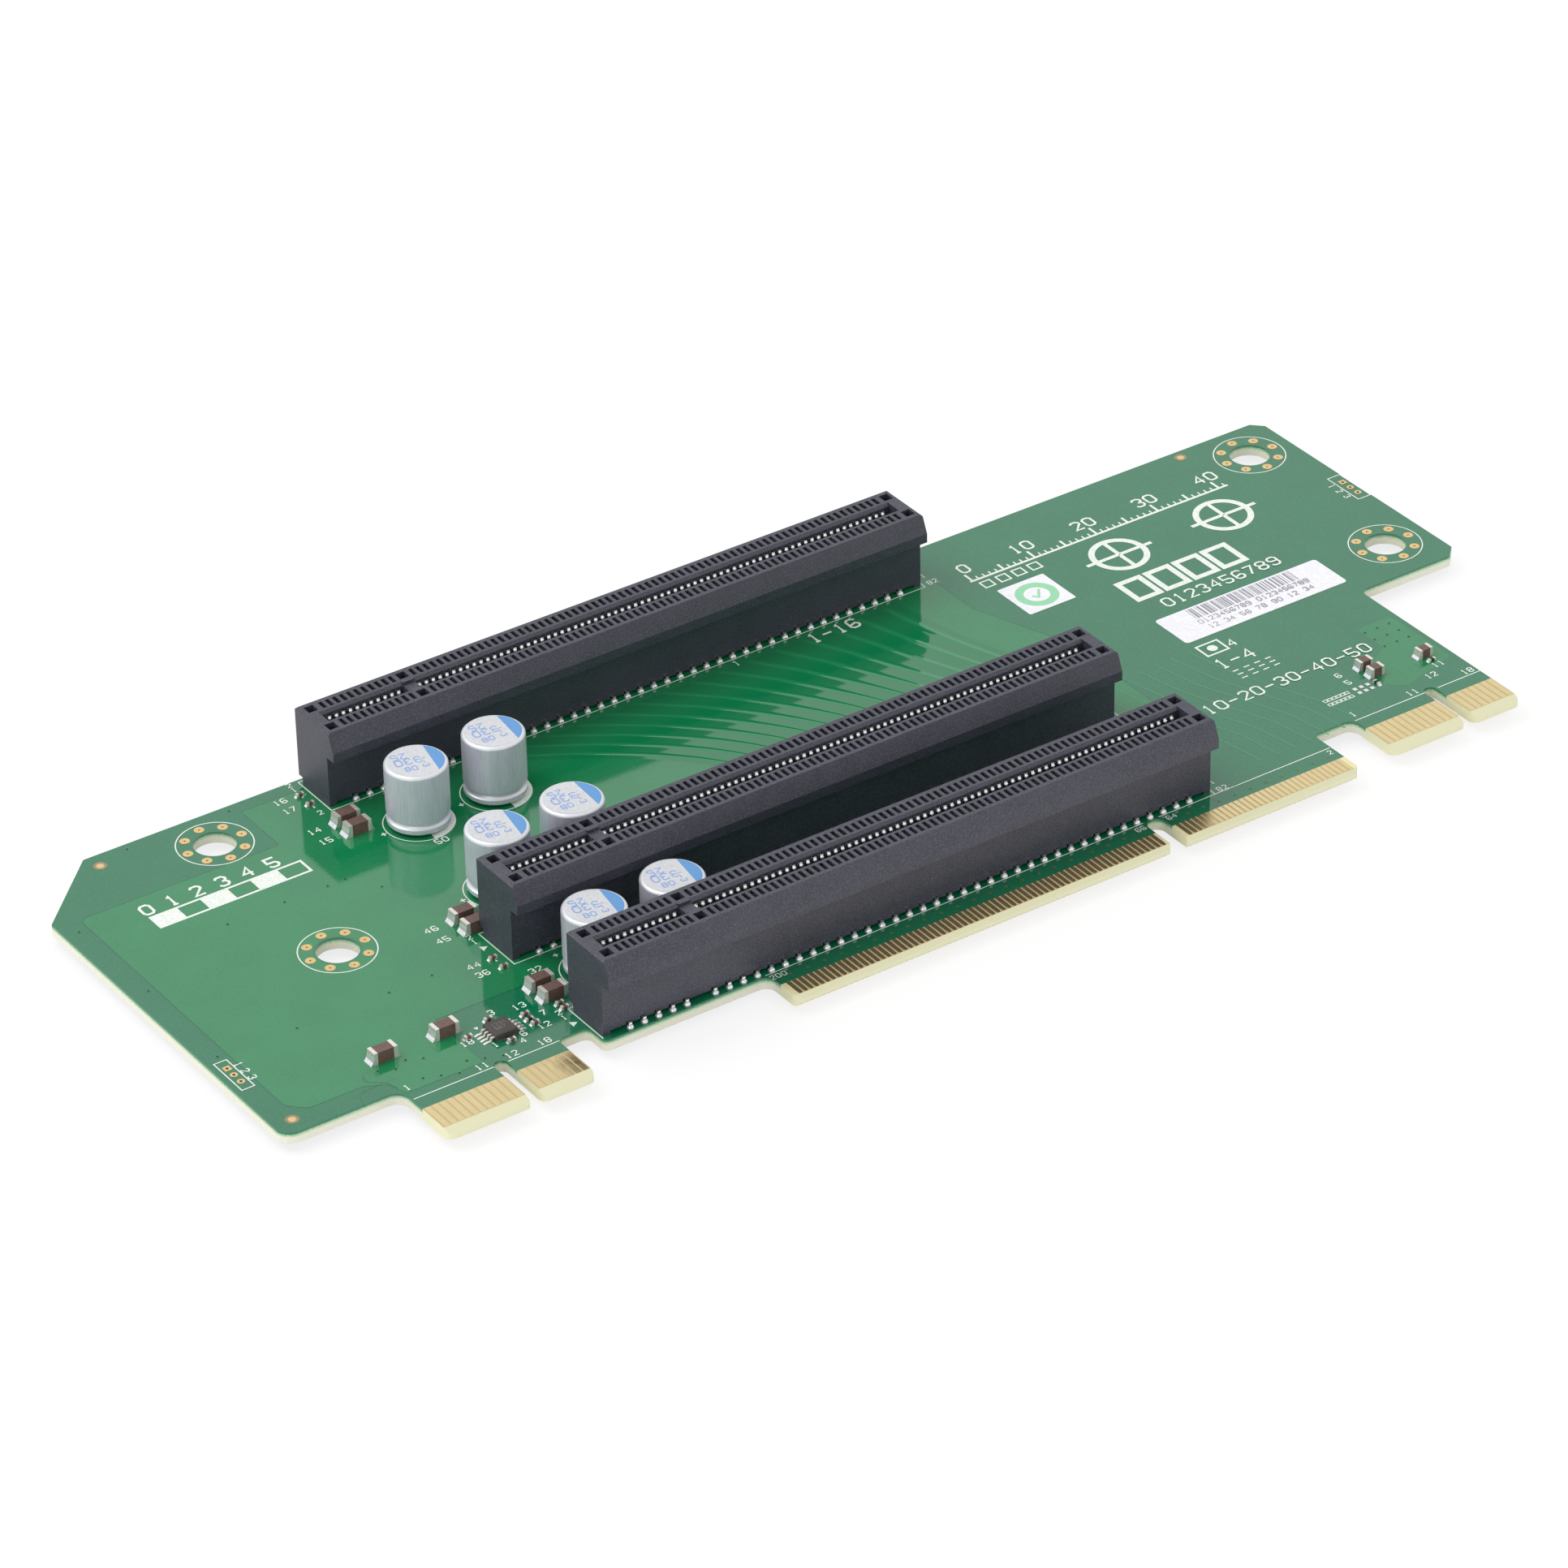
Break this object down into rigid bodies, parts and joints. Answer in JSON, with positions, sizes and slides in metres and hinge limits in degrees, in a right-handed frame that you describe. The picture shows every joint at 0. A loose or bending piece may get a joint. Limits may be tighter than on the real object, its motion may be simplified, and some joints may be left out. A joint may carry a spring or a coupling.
{
  "type": "pcie riser card",
  "caption": "Flat riser circuit board with three long card sockets on its face, can capacitors beside them and three bevelled edge tabs with finger contacts.",
  "frame": {"origin": "centre of the four mounting holes, on the board's underside", "axes": "+X along the card sockets, away from the cut corner; +Y towards the long straight edge, away from the edge tabs; +Z out of the socket side"},
  "size_m": [0.1905, 0.0754, 0.0138],
  "materials": {
    "solder_mask_board": "satin",
    "socket_plastic": "satin",
    "contact_metal": "polished",
    "gold_plate": "polished",
    "solder": "satin",
    "can_aluminium": "satin",
    "seal_rubber": "matte",
    "tinned_metal": "satin",
    "chip_ceramic": "matte",
    "resistor_film": "satin",
    "ic_resin": "matte",
    "label_paper": "matte",
    "sticker_paper": "matte"
  },
  "bodies": {
    "root": {"capacitor_1_can": "can_aluminium", "capacitor_2_can": "can_aluminium", "capacitor_3_can": "can_aluminium", "capacitor_4_can": "can_aluminium", "capacitor_5_can": "can_aluminium", "capacitor_6_can": "can_aluminium", "capacitor_leads": "tinned_metal", "capacitor_seals": "seal_rubber", "capacitor_solder_joints": "solder", "centre_edge_fingers": "gold_plate", "chip_end_caps": "tinned_metal", "chip_resistor_bodies": "resistor_film", "chip_solder_joints": "solder", "circuit_board": "solder_mask_board", "ic_body": "ic_resin", "ic_leads": "tinned_metal", "inspection_sticker": "sticker_paper", "large_chip_bodies": "chip_ceramic", "left_edge_fingers": "gold_plate", "medium_chip_bodies": "chip_ceramic", "right_edge_fingers": "gold_plate", "serial_label": "label_paper", "slot_1_far_contacts": "contact_metal", "slot_1_housing": "socket_plastic", "slot_1_near_contacts": "contact_metal", "slot_1_solder_joints": "solder", "slot_2_far_contacts": "contact_metal", "slot_2_housing": "socket_plastic", "slot_2_near_contacts": "contact_metal", "slot_2_solder_joints": "solder", "slot_3_far_contacts": "contact_metal", "slot_3_housing": "socket_plastic", "slot_3_near_contacts": "contact_metal", "slot_3_solder_joints": "solder", "small_chip_bodies": "chip_ceramic"}
  },
  "joints": []
}
